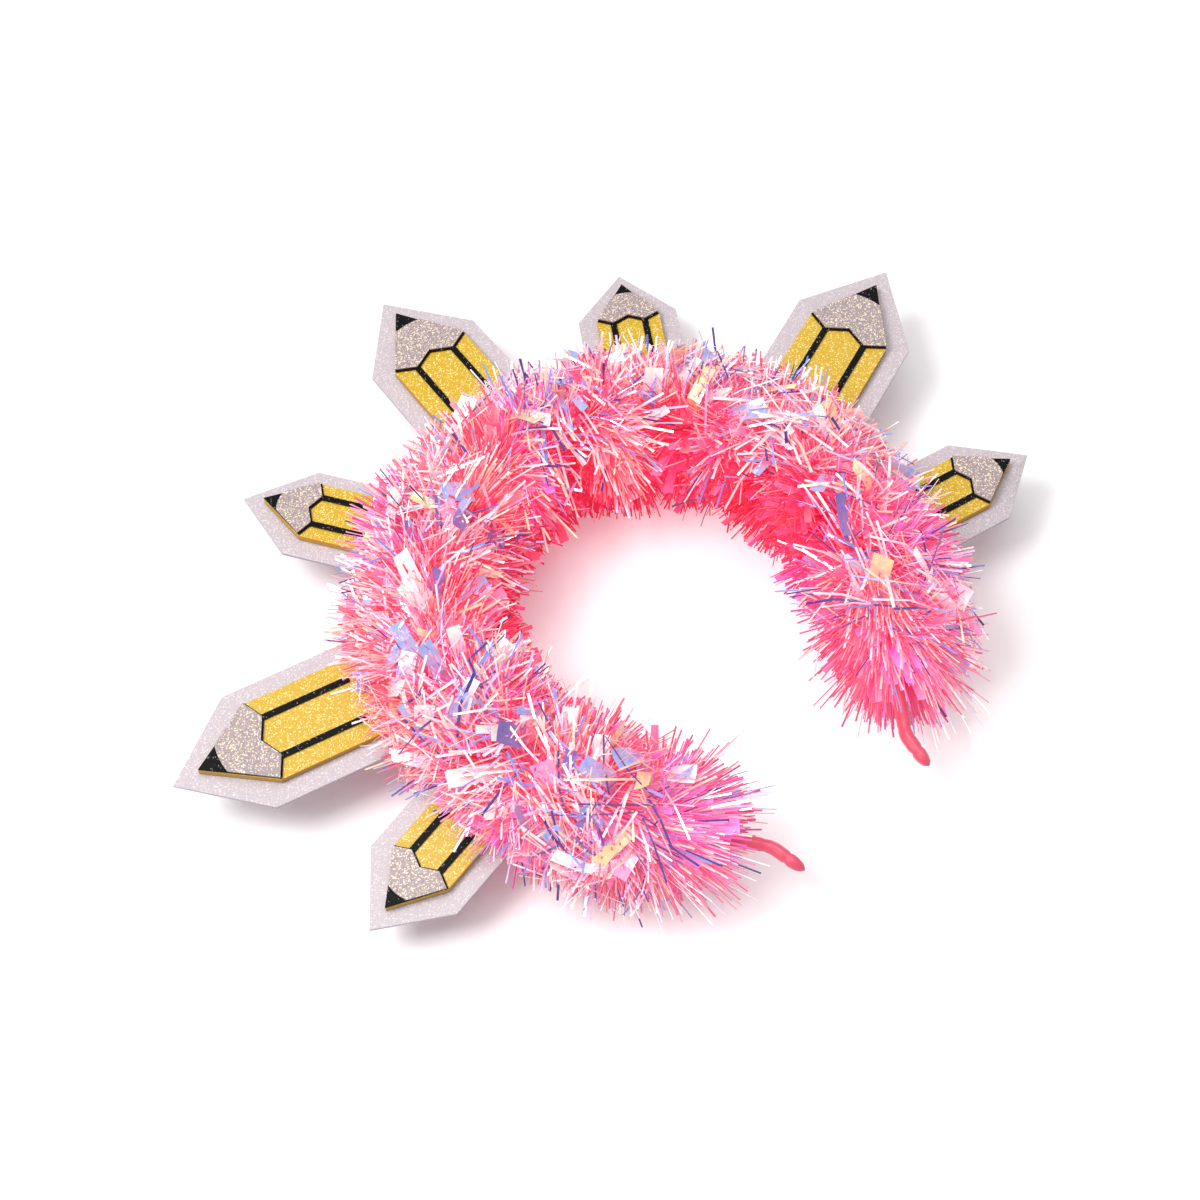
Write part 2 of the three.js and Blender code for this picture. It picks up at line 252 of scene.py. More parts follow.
@dataclass(frozen=True)
class FilmStrip:
    """Slit polyester film: glossy, its tint held strip by strip in an attribute.

    The light that it lets through is painted as an emission, in one colour or, without one, in each strip's
    own tint.
    So that light reaches into the pile, only coated film shades the others, and only wide film tinges them
    and the floor. A coating shows slow streaks of other colours, where it is thicker or thinner.
    """

    name: str
    roughness: float
    specular: float
    painted_glow: str | None
    painted_glow_strength: float
    metallic: float = 0.0
    coat: float = 0.0
    coat_roughness: float = 0.08
    ior: float = 1.55
    streak_colours: tuple[str, ...] = ()
    streak: float = 3.0 * MM
    streak_detail: float = 1.0
    streak_share: float = 0.45
    streaks_from: float = 0.3
    streaks_over: float = 0.4
    shades_others: bool = False
    tinges_others: bool = False

    def streaked(self, tree: NodeTree, tint: NodeSocket) -> NodeSocket:
        """Lays the coating's streaks over a tint.

        Args:
            tree: the material's node tree.
            tint: the strips' own colour.

        Returns:
            The streaked colour.
        """
        place = add_node(tree, "ShaderNodeTexCoord")
        coating = add_node(
            tree, "ShaderNodeTexNoise", {"Scale": 1 / self.streak, "Detail": self.streak_detail},
            {"Vector": place.outputs["Object"]},
        )
        ramp = add_node(tree, "ShaderNodeValToRGB", {}, {"Fac": coating.outputs["Fac"]})
        stops = ramp.color_ramp.elements
        last = len(self.streak_colours) - 1
        for number, colour in enumerate(self.streak_colours):
            place_on_ramp = self.streaks_from + self.streaks_over * number / last
            stop = stops[number] if number < len(stops) else stops.new(place_on_ramp)
            stop.position, stop.color = place_on_ramp, linear(colour)
        return add_node(
            tree, "ShaderNodeMix",
            {"data_type": "RGBA", "blend_type": "MULTIPLY", "Factor": self.streak_share},
            {MIX_FIRST: tint, MIX_SECOND: ramp.outputs["Color"]},
        ).outputs[MIX_RESULT]

    def material(self) -> Material:
        """Makes the film's material.

        Returns:
            The material.
        """
        material, tree, output = new_material(self.name)
        colour = add_node(tree, "ShaderNodeAttribute", {"attribute_name": TINT_ATTRIBUTE}).outputs["Color"]
        if self.streak_colours:
            colour = self.streaked(tree, colour)
        shader = add_node(
            tree, "ShaderNodeBsdfPrincipled",
            {
                "Roughness": self.roughness,
                "Specular IOR Level": self.specular,
                "Metallic": self.metallic,
                "IOR": self.ior,
                "Coat Weight": self.coat,
                "Coat Roughness": self.coat_roughness,
                "Emission Strength": self.painted_glow_strength,
            },
            {"Base Color": colour},
        )
        # Painted glow: an emission stands in for light passed through the film; without a set colour it takes
        # each strip's tint, a painted highlight on the white pearl strips
        if self.painted_glow:
            shader.inputs["Emission Color"].default_value = linear(self.painted_glow)
        else:
            tree.links.new(colour, shader.inputs["Emission Color"])
        tree.links.new(shader.outputs["BSDF"], output.inputs["Surface"])
        return material


@dataclass(frozen=True)
class SatinRibbon:
    """Woven satin: long floats along the ribbon give a soft sheen, with a fine rib across.

    The threads are drawn coarser than real ones, so that they show in the render.
    """

    name: str
    colour: str
    shade: str
    thread: float
    roughness: float
    rib: float = 0.25
    sheen: float = 0.4
    sheen_roughness: float = 0.4
    thread_waver: float = 2.0
    waver_detail: float = 2.0

    def material(self) -> Material:
        """Makes the ribbon's material.

        Returns:
            The material.
        """
        material, tree, output = new_material(self.name)
        place = add_node(tree, "ShaderNodeTexCoord")
        threads = add_node(
            tree, "ShaderNodeTexWave",
            {"Scale": 1 / self.thread, "Distortion": self.thread_waver, "Detail": self.waver_detail},
            {"Vector": place.outputs["Object"]},
        )
        ramp = add_node(tree, "ShaderNodeValToRGB", {}, {"Fac": threads.outputs["Fac"]})
        stops = ramp.color_ramp.elements
        stops[0].color, stops[1].color = linear(self.shade), linear(self.colour)
        bump = add_node(
            tree, "ShaderNodeBump", {"Strength": self.rib, "Distance": self.thread / 2},
            {"Height": threads.outputs["Fac"]},
        )
        shader = add_node(
            tree, "ShaderNodeBsdfPrincipled",
            {
                "Roughness": self.roughness,
                "Sheen Weight": self.sheen,
                "Sheen Roughness": self.sheen_roughness,
            },
            {"Base Color": ramp.outputs["Color"], "Normal": bump.outputs["Normal"]},
        )
        tree.links.new(shader.outputs["BSDF"], output.inputs["Surface"])
        return material


class SheetFinish(Enum):
    """The finish of each layer of a pencil, by the layer's word in its node's name."""

    # Pearl card: pale and cool, with a fine even sparkle
    backing = GlitterSheet(
        name="pearl_glitter_sheet", ground="BCB1B6", dark="B4A9AF", bright="D6CFD2", edge="A0949E",
        flake=0.3 * MM, dark_share=0.35, bright_share=0.12, rainbow=0.06, tilt=0.2, roughness=0.35,
    )
    # Yellow foam: warm and full, with pale gold points
    yellow = GlitterSheet(
        name="yellow_glitter_foam", ground="C9A31E", dark="BE9819", bright="F2E29A", edge="C08D14",
        flake=0.28 * MM, dark_share=0.35, bright_share=0.13, rainbow=0.04, tilt=0.35, roughness=0.35,
    )
    # Black card: almost without gloss, with a few grey points
    black = GlitterSheet(
        name="black_glitter_sheet", ground="0B0A0B", dark="060506", bright="807A78", edge="0B0A0B",
        flake=0.3 * MM, dark_share=0.4, bright_share=0.035, rainbow=0.05, tilt=0.3,
        roughness=0.5, specular=0.12,
    )
    # Wood-coloured card: the strongest sparkle, in cream and a faint rainbow
    wood = GlitterSheet(
        name="wood_glitter_sheet", ground="A39291", dark="8E7E80", bright="E8D9C4", edge="8A7A76",
        flake=0.32 * MM, dark_share=0.36, bright_share=0.19, rainbow=0.16, tilt=0.4, roughness=0.32,
    )


# Coral satin: a smooth ribbon with a soft sheen along the band
RIBBON = SatinRibbon(
    name="coral_satin_ribbon", colour="E0526C", shade="C83A56", thread=0.3 * MM, roughness=0.34
)
# Pink film: it passes light on from layer to layer, redder each time; that light is painted as a coral glow
# over every strip
SOFT_FILM = FilmStrip(
    name="pink_slit_film", roughness=0.34, specular=0.3, painted_glow="FF2C60", painted_glow_strength=0.23
)
# Wide pink film: clearer and cooler than the fine strands; its painted glow throws lilac pink light on the
# floor
WIDE_FILM = FilmStrip(
    name="pink_wide_film", roughness=0.3, specular=0.4, painted_glow="FF64B4", painted_glow_strength=0.2, tinges_others=True
)
# Pearl film: a thin bright coating mirrors the room; its white, blue, cream and lilac are partly painted
# glare and dark reflection in the strips' tints, and a painted glow in each strip's tint lifts the white
# strips
PEARL_FILM = FilmStrip(
    name="pearl_coated_film", roughness=0.12, specular=0.7, painted_glow=None, painted_glow_strength=0.24,
    metallic=0.3, coat=0.6, streak_colours=("B4D0FF", "FFFFFF", "FFF0CC", "FFFFFF", "F4C0EC"),
    shades_others=True,
)


@dataclass(frozen=True)
class Stretch:
    """One stretch of the band's line: an arc where it has a radius, or else a straight run."""

    length: float
    radius: float = 0.0
    turns_in: bool = True

    @classmethod
    def arc(cls, radius: float, turn: float) -> "Stretch":
        """Makes an arc from its radius and its turn in degrees, positive towards the wearer."""
        return cls(radius * math.radians(abs(turn)), radius, turn > 0)


@dataclass
class BandLine:
    """The line that the band follows, measured along it from the middle of the crown."""

    crown_radius: float = 61.6 * MM
    arm_radius: float = 88.5 * MM
    bend_radius: float = 8.0 * MM
    crown_turn: float = 98.0
    arm_turn: float = 29.0
    bend_turn: float = -27.0
    straight: float = 29.5 * MM
    end: float = 4.0 * MM
    stretches: list[Stretch] = field(init=False)
    centre: Vector = field(init=False)
    half_length: float = field(init=False)

    def __post_init__(self) -> None:
        """Works out the stretches, and finds the ring's centre from the core in the frame."""
        self.stretches = [
            Stretch.arc(self.crown_radius, self.crown_turn),
            Stretch.arc(self.arm_radius, self.arm_turn),
            Stretch(self.straight),
            Stretch.arc(self.bend_radius, self.bend_turn),
            Stretch(self.end),
        ]
        self.half_length = sum(stretch.length for stretch in self.stretches)
        low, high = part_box("band_core")
        half_core = (high.z - low.z) / 2
        self.centre = Vector(
            ((low.x + high.x) / 2, high.y - self.crown_radius - half_core, low.z + half_core)
        )

    def at(self, along: Array) -> tuple[Array, Array, Array]:
        """Finds places on the line.

        Args:
            along: distances from the middle of the crown, negative on the left.

        Returns:
            Points, unit directions along the line and unit directions away from the wearer.
        """
        left = np.abs(along)
        side = np.where(along < 0, -1.0, 1.0)
        x = np.zeros_like(left)
        y = np.full_like(left, self.crown_radius)
        heading = np.zeros_like(left)
        for number, stretch in enumerate(self.stretches):
            final = number == len(self.stretches) - 1
            run = np.maximum(left, 0) if final else np.clip(left, 0, stretch.length)
            turned = run / stretch.radius if stretch.radius else np.zeros_like(run)
            chord = 2 * stretch.radius * np.sin(turned / 2) if stretch.radius else run
            turned = turned if stretch.turns_in else -turned
            x += chord * np.cos(heading - turned / 2)
            y += chord * np.sin(heading - turned / 2)
            heading -= turned
            left = left - run
        heading = heading * side
        points = np.stack([x * side, y, np.zeros_like(x)], -1) + np.array(self.centre)
        forward = np.stack([np.cos(heading), np.sin(heading), np.zeros_like(x)], -1)
        outward = np.stack([-np.sin(heading), np.cos(heading), np.zeros_like(x)], -1)
        return points, forward, outward


def piece_from_mesh(mesh: Mesh, material: Material, node: str) -> Object:
    """Makes a piece that rides on the part and stands for one of its nodes.

    Args:
        mesh: the piece's mesh, in place, whose name becomes the piece's.
        material: its finish.
        node: the node that it replaces.

    Returns:
        The piece.
    """
    piece = bpy.data.objects.new(mesh.name, mesh)
    bpy.context.scene.collection.objects.link(piece)
    mesh.materials.append(material)
    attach(piece, BODY)
    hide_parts(node)
    LOG.info("%s: %d faces", piece.name, len(mesh.polygons))
    return piece


class Section(Enum):
    """A strip cut across: its corners, in shares of its width and its thickness."""

    THREAD = ((-0.5, -0.3), (0.5, -0.3), (0.0, 0.6))
    FLAT = ((-0.5, -0.5), (0.5, -0.5), (0.5, 0.5), (-0.5, 0.5))
    CURLED = ((-0.5, -0.5), (0.0, -4.5), (0.5, -0.5), (0.5, 0.5), (0.0, -3.5), (-0.5, 0.5))


class Stance(Enum):
    """How a strip leaves the band: it stands out from it, or comes up and is swept over along the pile."""

    STANDING = "standing"
    SWEPT = "swept"


@dataclass(frozen=True)
class Tint:
    """A strip's colour near the thread and at its tip, and the share of strips that have it; a deeper root is
    partly painted shade.
    """

    root: str
    tip: str
    share: float


@dataclass(frozen=True)
class FilmKind:
    """One kind of strip: how many, how wide and long, which tints, and how it lies and gathers."""

    name: str
    count: int
    width: float
    width_spread: float
    reach: float
    reach_spread: float
    tints: tuple[Tint, ...]
    finish: FilmStrip
    thickness: float = 0.07 * MM
    section: Section = Section.FLAT
    sections: int = 4
    stance: Stance = Stance.STANDING
    lay: float = 0.0
    gathers: float = 0.0
    tint_drift: float = 1.0


@dataclass
class StripBatch:
    """Strips of one kind, to be joined into one mesh."""

    kind: FilmKind
    centres: Array
    across: Array
    widths: Array
    tints: Array
    floor_gap: float = 0.25 * MM
    floor_press: float = 0.02

    def corners(self) -> Array:
        """Places the corners of every section of every strip.

        Returns:
            Their places, those under the floor pressed flat on it.
        """
        ahead = unit(np.gradient(self.centres, axis=1))
        side = unit(self.across - ahead * np.sum(self.across * ahead, -1, keepdims=True))
        face = np.cross(ahead, side)
        places = np.stack(
            [
                self.centres + side * (x * self.widths)[:, None, None] + face * (y * self.kind.thickness)
                for x, y in self.kind.section.value
            ],
            axis=2,
        )
        under = np.minimum(places[..., 2] - self.floor_gap, 0)
        places[..., 2] += (self.floor_press - 1) * under
        return places

    def faces(self) -> tuple[Array, Array]:
        """Closes every strip with walls along it and a face at each end.

        Returns:
            The corners round all the faces, one face after another, and where each face starts among them.
        """
        corner_count, sections = len(self.kind.section.value), self.kind.sections
        ring = np.arange(corner_count)
        after = (ring + 1) % corner_count
        here = np.arange(sections - 1)[:, None] * corner_count
        beyond = here + corner_count
        walls = np.stack([here + ring, here + after, beyond + after, beyond + ring], -1).reshape(1, -1, 4)
        ends = np.stack([ring[::-1], (sections - 1) * corner_count + ring])[None]
        first = (np.arange(len(self.centres)) * sections * corner_count)[:, None, None]
        wall_corners = (walls + first).ravel()
        end_corners = (ends + first).ravel()
        wall_starts = np.arange(0, len(wall_corners), walls.shape[-1])
        end_starts = len(wall_corners) + np.arange(0, len(end_corners), corner_count)
        return np.concatenate([wall_corners, end_corners]), np.concatenate([wall_starts, end_starts])

    def mesh(self) -> Mesh:
        """Joins the strips into one mesh of thin closed slabs.

        Returns:
            The mesh, with each corner's tint in its attribute.
        """
        places = self.corners()
        face_corners, face_starts = self.faces()
        tints = np.repeat(self.tints, places.shape[2], axis=1)
        mesh = bpy.data.meshes.new(self.kind.name)
        mesh.vertices.add(places.size // 3)
        mesh.vertices.foreach_set("co", places.astype(np.float32).ravel())
        mesh.loops.add(len(face_corners))
        mesh.loops.foreach_set("vertex_index", face_corners.astype(np.int32))
        mesh.polygons.add(len(face_starts))
        mesh.polygons.foreach_set("loop_start", face_starts.astype(np.int32))
        attribute = mesh.attributes.new(TINT_ATTRIBUTE, "FLOAT_COLOR", "POINT")
        attribute.data.foreach_set("color", tints.astype(np.float32).ravel())
        mesh.update(calc_edges=True)
        mesh.validate()
        # Threads are shaded round, and other film has flat faces that glint one by one
        if self.kind.section is not Section.THREAD:
            mesh.shade_flat()
        return mesh


# Each strip is deeper at its root than at its tip, partly painted shade where the pile shades itself
CORAL_TINTS = (
    Tint("DC1834", "FF4C60", 0.42),
    Tint("DA1034", "FF4064", 0.43),
    Tint("E0145C", "FF489C", 0.15),
)
ROSE_TINTS = (
    Tint("E01C3C", "FF6878", 0.46),
    Tint("E4204C", "FF6C90", 0.37),
    Tint("E42C90", "F468D0", 0.17),
)
BLUSH_TINTS = (
    Tint("EC3840", "FFB4A4", 0.25),
    Tint("EC2C54", "FFBCCC", 0.58),
    Tint("E840A4", "F8ACE4", 0.17),
)
WIDE_TINTS = (
    Tint("EC3844", "FF8484", 0.37),
    Tint("EC2C54", "FF7C9C", 0.45),
    Tint("E848A0", "F284D8", 0.18),
)
# The white and navy tints are partly painted glare and dark reflection of coated film turned to and from the
# lamps
PEARL_TINTS_AND_GLINTS = (
    Tint("FF90B4", "FFFFFF", 0.53),
    Tint("E0A8D0", "DCC8FA", 0.12),
    Tint("A890D8", "7CA0F4", 0.11),
    Tint("6A4890", "34388A", 0.11),
    Tint("F8B49A", "FBE6CC", 0.13),
)
# The white and violet flakes are partly painted glare and dark reflection of coated film turned to and from
# the lamps
FLAKE_TINTS_AND_GLINTS = (
    Tint("FFB4CC", "FFFFFF", 0.48),
    Tint("C8A0CC", "9CB6F0", 0.18),
    Tint("9878BC", "7C66B2", 0.09),
    Tint("FFA0C8", "FAA0D4", 0.12),
    Tint("F8C0A0", "FAE4B0", 0.13),
)

# The garland's film, from the depths of the pile outwards. Strands are drawn coarser than real ones, which
# are about 0.25 mm wide, so that they show in the render and fewer of them fill the pile.
FILM_KINDS = (
    FilmKind(
        name="tinsel_coral_strands", count=21000,
        width=0.48 * MM, width_spread=0.12 * MM, reach=21.0 * MM, reach_spread=1.8 * MM,
        thickness=0.14 * MM, section=Section.THREAD, sections=2,
        tints=CORAL_TINTS, finish=SOFT_FILM,
    ),
    FilmKind(
        name="tinsel_rose_strands", count=14000,
        width=0.46 * MM, width_spread=0.12 * MM, reach=22.3 * MM, reach_spread=2.0 * MM,
        thickness=0.14 * MM, section=Section.THREAD, sections=3,
        tints=ROSE_TINTS, finish=SOFT_FILM,
    ),
    FilmKind(
        name="tinsel_blush_strands", count=17500,
        width=0.42 * MM, width_spread=0.12 * MM, reach=23.2 * MM, reach_spread=2.2 * MM,
        thickness=0.14 * MM, section=Section.THREAD, sections=3,
        tints=BLUSH_TINTS, finish=SOFT_FILM, gathers=0.3,
    ),
    FilmKind(
        name="tinsel_wide_film", count=1900,
        width=2.3 * MM, width_spread=0.7 * MM, reach=22.2 * MM, reach_spread=1.8 * MM,
        section=Section.CURLED, tints=WIDE_TINTS, finish=WIDE_FILM,
    ),
    FilmKind(
        name="tinsel_pearl_strips", count=6500,
        width=0.45 * MM, width_spread=0.15 * MM, reach=27.4 * MM, reach_spread=2.6 * MM,
        tints=PEARL_TINTS_AND_GLINTS, finish=PEARL_FILM, gathers=0.4, tint_drift=0.2,
    ),
    FilmKind(
        name="tinsel_swept_strips", count=3200,
        width=0.55 * MM, width_spread=0.2 * MM, reach=25.4 * MM, reach_spread=1.2 * MM,
        tints=PEARL_TINTS_AND_GLINTS, finish=PEARL_FILM, gathers=1.0, tint_drift=0.2,
        stance=Stance.SWEPT, lay=17.0 * MM,
    ),
    FilmKind(
        name="tinsel_wide_flakes", count=430,
        width=4.2 * MM, width_spread=1.3 * MM, reach=25.0 * MM, reach_spread=1.2 * MM,
        section=Section.CURLED, tints=FLAKE_TINTS_AND_GLINTS, finish=PEARL_FILM, gathers=0.3, tint_drift=0.0,
        stance=Stance.SWEPT, lay=10.0 * MM,
    ),
)


@dataclass
class Combing:
    """Slow waves over the garland that lay neighbouring strands the same way, so that they stand in tufts."""

    rng: np.random.Generator
    waves: int = 7
    shortest: float = 15.0 * MM
    longest: float = 45.0 * MM
    most_turns: int = 2

    def __post_init__(self) -> None:
        """Draws the waves."""
        self.lengths = self.rng.uniform(self.shortest, self.longest, self.waves)
        self.turns = self.rng.integers(-self.most_turns, self.most_turns + 1, self.waves)
        self.phases = self.rng.uniform(0, 2 * math.pi, self.waves)

    def at(self, along: Array, turn: Array) -> Array:
        """Finds the waves' height, mostly between -1.5 and 1.5.

        Args:
            along: places along the band.
            turn: angles round it.

        Returns:
            The height at each place.
        """
        angle = 2 * math.pi * along[:, None] / self.lengths + turn[:, None] * self.turns + self.phases
        return np.sin(angle).sum(1) * math.sqrt(2 / self.waves)


@dataclass
class Tinsel:
    """The garland: film strips caught in the twisted thread along the band, standing out all round it."""

    line: BandLine
    seed: int = 20
    # Where strips start, and within what limits their lengths and widths vary
    half_length: float = 153.0 * MM
    root_radius: float = 2.6 * MM
    shortest: float = 15.0 * MM
    longest: float = 32.0 * MM
    narrowest: float = 0.5
    widest: float = 1.6
    # How neighbours lean and reach together in tufts and drifts, and how far each strays from them
    tuft_lean: float = 0.5
    tuft_swirl: float = 0.5
    tuft_reach: float = 0.08
    loose_lean: float = 0.32
    drift_shortest: float = 35.0 * MM
    drift_longest: float = 90.0 * MM
    # How a standing strand bends, and how a strip twists
    straight: float = 0.5
    knee_at: float = 0.5
    twist: float = 0.5
    root_twist: float = 0.4
    # The thread's twist shows as a coil in the pile
    coil_pitch: float = 27.0 * MM
    coil_lean: float = 0.35
    coil_reach: float = 0.07
    # How strips fan out and reach over the two ends
    end_fan: float = 1.6
    end_fan_ease: float = 1.4
    end_fan_least: float = 0.2
    end_fan_most: float = 2.0
    end_fan_length: float = 50.0 * MM
    end_overhang: float = 13.0 * MM
    end_reach: float = 0.12
    end_reach_ease: int = 4
    end_reach_least: float = -0.5
    end_reach_most: float = 1.0
    # The pile is fuller on the outside of the left shoulder
    fuller_at: float = -52.0 * MM
    fuller_length: float = 30.0 * MM
    fuller_by: float = 0.14
    # How swept strips come up through the pile and lie over
    swept_from: float = 19.5 * MM
    rise_share: float = 0.1
    lay_least: float = 0.4
    lay_most: float = 1.5
    sweep_turn: float = 1.5
    loose_sweep: float = 0.3
    # Where the kinds of film that gather lie most: their pale strips crowd the lit upper outside and ends and
    # thin out on the right, partly painted highlight
    crowd_above: float = 1.3
    crowd_outside: float = 1.7
    crowd_end: float = 0.9
    crowd_right: float = -0.9
    loose_crowd: float = 0.6
    stray_share: float = 0.5
    # How the pencils press strands aside
    lift: float = 0.25
    lifts_above: float = -0.05
    lift_tries: int = 8
    lift_shortens: float = 0.93
    tip_margin: float = 1.03
    # How tints run from a deeper root, partly painted shade of the pile, to a paler tip, vary from strip to
    # strip, and turn lilac at the ends' tips, a painted sheen
    tint_spread: float = 0.7
    tint_turns_at: float = 0.45
    tint_turns_over: float = 0.5
    shades: int = 6
    shade_spread: float = 0.1
    end_sheen_drift: float = 1.0
    end_sheen_tint: str = "F8A4DE"
    end_sheen_share: float = 0.3
    # Painted shade: how soon film lies deep under the pile and inside the ring, and the share of its colour
    # left there, as if less light reached it
    under_painted_shade: float = 0.8
    inside_painted_shade: float = 1.5
    painted_shade_tint: tuple[float, float, float, float] = (0.92, 0.28, 0.42, 1.0)

    def __post_init__(self) -> None:
        """Draws the waves that comb the strands, and gathers the pencils that they part for."""
        self.rng = np.random.default_rng(self.seed)
        self.lean_waves = Combing(self.rng)
        self.swirl_waves = Combing(self.rng)
        self.reach_waves = Combing(self.rng)
        drift = {"shortest": self.drift_shortest, "longest": self.drift_longest}
        self.sweep_waves = Combing(self.rng, **drift)
        self.crowd_waves = Combing(self.rng, **drift)
        self.tint_waves = Combing(self.rng, **drift)
        joined = bmesh.new()
        for name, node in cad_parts.items():
            if name.startswith("pencil_"):
                joined.from_mesh(node.data)
        self.pencils = BVHTree.FromBMesh(joined)
        joined.free()

    def is_clear(self, path: Array | list[Array]) -> bool:
        """Says whether a line meets no pencil.

        Args:
            path: the points along the line.

        Returns:
            Whether it is clear of all the pencils.
        """
        points = [Vector(point) for point in path]
        for start, end in zip(points, points[1:]):
            if self.pencils.ray_cast(start, end - start, (end - start).length)[0] is not None:
                return False
        return True

    def knee_and_tip(self, outs: Array, bends: Array, lengths: Array) -> tuple[Array, Array]:
        """Finds where standing strands turn and where they end.

        Args:
            outs: the unit directions in which they start.
            bends: how far their tips lean from those.
            lengths: their lengths.

        Returns:
            The places of their knees and tips, from their roots.
        """
        knee = unit(outs + self.straight * bends) * self.knee_at * lengths
        return knee, unit(outs + bends) * lengths

    def lift_off_pencils(self, roots: Array, outs: Array, bends: Array, lengths: Array) -> Array:
        """Lifts or lowers the tips of strands that would pass through a pencil.

        Args:
            roots: where the strands start.
            outs: the unit directions in which they start.
            bends: how far their tips lean from those, changed in place.
            lengths: their lengths, cut shorter where they are pressed aside.

        Returns:
            Which strands came clear.
        """
        kept = np.zeros(len(roots), bool)
        for i, (root, out) in enumerate(zip(roots, outs)):
            rise = np.array([0.0, 0.0, self.lift if out[2] > self.lifts_above else -self.lift])
            for _ in range(self.lift_tries):
                knee, tip = self.knee_and_tip(out, bends[i], lengths[i])
                middle = root + bent(HALF_WAY, knee, tip)
                path = [root + out * self.root_radius, middle, root + self.tip_margin * tip]
                kept[i] = self.is_clear(path)
                if kept[i]:
                    break
                bends[i] += rise
                lengths[i] *= self.lift_shortens
        return kept

    def past_end(self, along: Array) -> Array:
        """Says how far places along the band lie into its fanned ends, from 0 to 1."""
        return np.clip((np.abs(along) - self.half_length + self.end_fan_length) / self.end_fan_length, 0, 1)

    def gathered(self, kind: FilmKind, along: Array, turn: Array) -> Array:
        """Picks the strips that stay where such film gathers: in drifts, most on the upper outside and the
        ends and least on the right, so their pale film lightens those sides, partly painted highlight.

        Args:
            kind: the kind of strip.
            along: their places along the band.
            turn: their angles round it.

        Returns:
            Which of them stay.
        """
        drift = self.crowd_waves.at(along, turn) + self.rng.normal(0, self.loose_crowd, len(along))
        # Pale film is kept most where the lamps fall and least on the right: partly painted highlight
        height = self.crowd_above * np.sin(turn) + self.crowd_outside * np.cos(turn)
        height += self.crowd_end * self.past_end(along)
        height += self.crowd_right * np.clip(along / self.half_length, 0, 1)
        return kind.gathers * drift + height > -self.stray_share * (1 - kind.gathers)

    def leans_and_lengths(self, kind: FilmKind, along: Array, turn: Array) -> tuple[Array, Array, Array]:
        """Draws how far standing strands lean along the band and swirl round it, and how long they are.

        Args:
            kind: the kind of strip.
            along: where they start along the band.
            turn: their angles round it.

        Returns:
            Their leans, swirls and lengths.
        """
        rng, count, past = self.rng, len(along), self.past_end(along)
        coil = 2 * math.pi * along / self.coil_pitch - turn
        lean = self.tuft_lean * self.lean_waves.at(along, turn) + rng.normal(0, self.loose_lean, count)
        lean += self.coil_lean * np.cos(coil)
        swirl = self.tuft_swirl * self.swirl_waves.at(along, turn) + rng.normal(0, self.loose_lean, count)
        fan = np.sign(along) * past**self.end_fan_ease * self.end_fan
        lean += fan * rng.uniform(self.end_fan_least, self.end_fan_most, count)
        uneven = self.tuft_reach * self.reach_waves.at(along, turn) - self.coil_reach * np.sin(coil)
        fuller = self.fuller_by * np.exp(-(((along - self.fuller_at) / self.fuller_length) ** 2))
        uneven += fuller * np.cos(turn).clip(0)
        reach = rng.normal(kind.reach * (1 + uneven), kind.reach_spread)
        over_end = self.end_reach * past**self.end_reach_ease
        longer = over_end * rng.uniform(self.end_reach_least, self.end_reach_most, count)
        return lean, swirl, np.clip(reach, self.shortest, self.longest) * (1 + longer)

    def upright(self, kind: FilmKind, along: Array, turn: Array) -> tuple[Array, Array, Array]:
        """Lays out strips that stand out from the band in tufts, and fan out over its ends.

        Args:
            kind: the kind of strip.
            along: where they start along the band.
            turn: their angles round it.

        Returns:
            The points along each strip, the directions of its width there, and which strips came clear.
        """
        points, forward, outward = self.line.at(along)
        outs = outward * np.cos(turn)[:, None] + UP * np.sin(turn)[:, None]
        round_way = UP * np.cos(turn)[:, None] - outward * np.sin(turn)[:, None]
        lean, swirl, lengths = self.leans_and_lengths(kind, along, turn)
        bends = forward * lean[:, None] + round_way * swirl[:, None]
        kept = self.lift_off_pencils(points, outs, bends, lengths)
        points, outs, bends, lengths = points[kept], outs[kept], bends[kept], lengths[kept]
        share = np.linspace(0, 1, kind.sections)[None, :, None]
        start = (self.root_radius / lengths)[:, None, None]
        run = start + share * (1 - start)
        knee, tip = self.knee_and_tip(outs, bends, lengths[:, None])
        centres = points[:, None] + bent(run, knee[:, None], tip[:, None])
        first = unit(np.cross(outs, bends))
        second = np.cross(outs, first)
        twisted = self.root_twist + (1 - self.root_twist) * share
        angle = self.rng.normal(0, self.twist, len(points))[:, None, None] * twisted
        return centres, first[:, None] * np.cos(angle) + second[:, None] * np.sin(angle), kept

